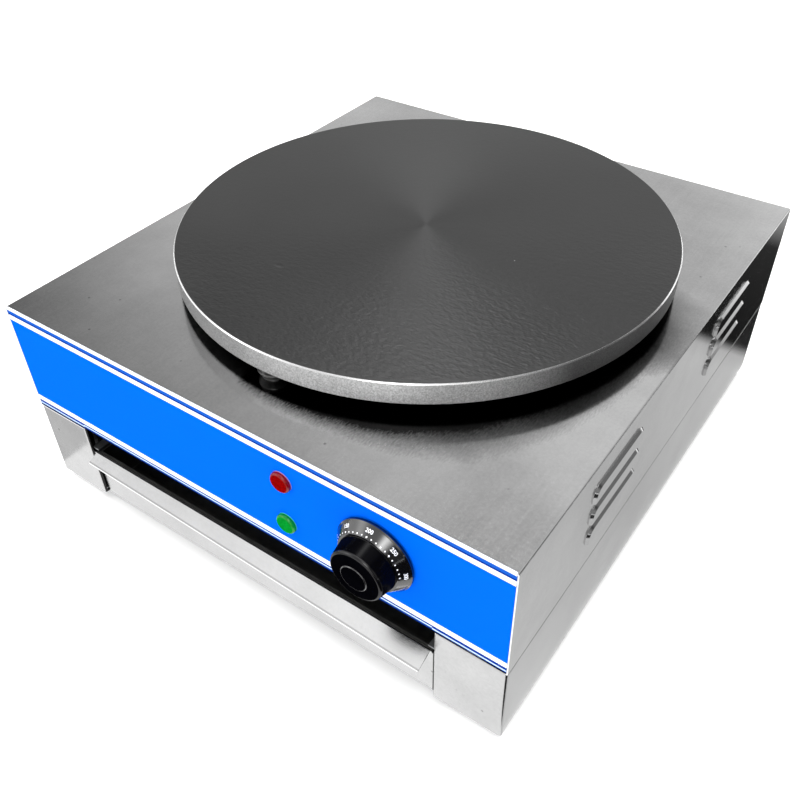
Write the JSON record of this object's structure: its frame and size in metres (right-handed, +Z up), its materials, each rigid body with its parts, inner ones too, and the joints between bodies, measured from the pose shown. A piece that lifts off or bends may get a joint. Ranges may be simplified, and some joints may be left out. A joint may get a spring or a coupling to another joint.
{
  "type": "electric crepe maker",
  "caption": "Countertop electric crepe maker: a round cast-iron griddle on a folded steel cabinet with a control panel, louvred sides and a drawer.",
  "frame": {"origin": "under the middle of the outline, on the surface that the feet stand on", "axes": "+Z up; -Y towards the user, at the control panel; +X to the right seen from the front"},
  "size_m": [0.4538, 0.5214, 0.2123],
  "materials": {
    "cabinet_steel": "brushed front to back",
    "drawer_steel": "brushed along its width",
    "panel_paint": "satin blue with white lines",
    "griddle_iron": "fine cast grain, seasoned",
    "support_steel": "turned",
    "plain_steel": "mill finish",
    "fastener_steel": "zinc plated",
    "sheath_steel": "heat-darkened",
    "knob_plastic": "polished",
    "cap_plastic": "fine radial grain",
    "red_lens": "clear-coated",
    "green_lens": "clear-coated",
    "lamp_plastic": "moulded",
    "switch_plastic": "moulded",
    "block_ceramic": "unglazed",
    "fibre_board": "soft fibre",
    "capillary_metal": "drawn",
    "foot_rubber": "moulded",
    "gland_plastic": "moulded"
  },
  "bodies": {
    "cabinet": {"base_frame": "cabinet_steel", "deck_plate": "plain_steel", "foot_front_left": "foot_rubber", "foot_front_right": "foot_rubber", "foot_rear_left": "foot_rubber", "foot_rear_right": "foot_rubber", "foot_screws": "fastener_steel", "drawer_runner_right": "plain_steel", "drawer_runner_left": "plain_steel", "top_cover": "cabinet_steel", "front_panel": "panel_paint", "rear_panel": "cabinet_steel", "support_ring": "plain_steel", "support_post_front": "support_steel", "support_post_rear_right": "support_steel", "support_post_rear_left": "support_steel", "support_post_nuts": "fastener_steel", "griddle_plate": "griddle_iron", "heating_element_outer": "sheath_steel", "heating_element_inner": "sheath_steel", "insulation_disc": "fibre_board", "heater_pan": "plain_steel", "heater_pan_studs": "fastener_steel", "heater_pan_nuts": "fastener_steel", "sensing_bulb": "capillary_metal", "bulb_clip": "plain_steel", "capillary_tube": "capillary_metal", "thermostat_body": "switch_plastic", "thermostat_screws": "fastener_steel", "red_lamp_lens": "red_lens", "red_lamp_body": "lamp_plastic", "green_lamp_lens": "green_lens", "green_lamp_body": "lamp_plastic", "lamp_clips": "fastener_steel", "terminal_block": "block_ceramic", "terminal_block_screws": "fastener_steel", "cable_gland": "gland_plastic", "cable_gland_seal": "foot_rubber", "cable_gland_nut": "gland_plastic", "bonding_stud": "fastener_steel", "bonding_nuts": "fastener_steel", "cover_screws": "fastener_steel", "rear_panel_screws": "fastener_steel"},
    "drawer": {"drawer_pan": "drawer_steel", "drawer_front": "drawer_steel"},
    "knob": {"thermostat_shaft": "support_steel", "control_knob": "knob_plastic", "knob_cap": "cap_plastic"}
  },
  "joints": [
    {"name": "drawer_slide", "type": "slide", "parent": "cabinet", "child": "drawer", "axis": [0, -1, 0], "range_m": [0, 0.3]},
    {"name": "knob_turn", "type": "hinge", "parent": "cabinet", "child": "knob", "pos_m": [0.1266, -0.23625, 0.13525], "axis": [0, -1, 0], "range_deg": [-171, 86]}
  ]
}
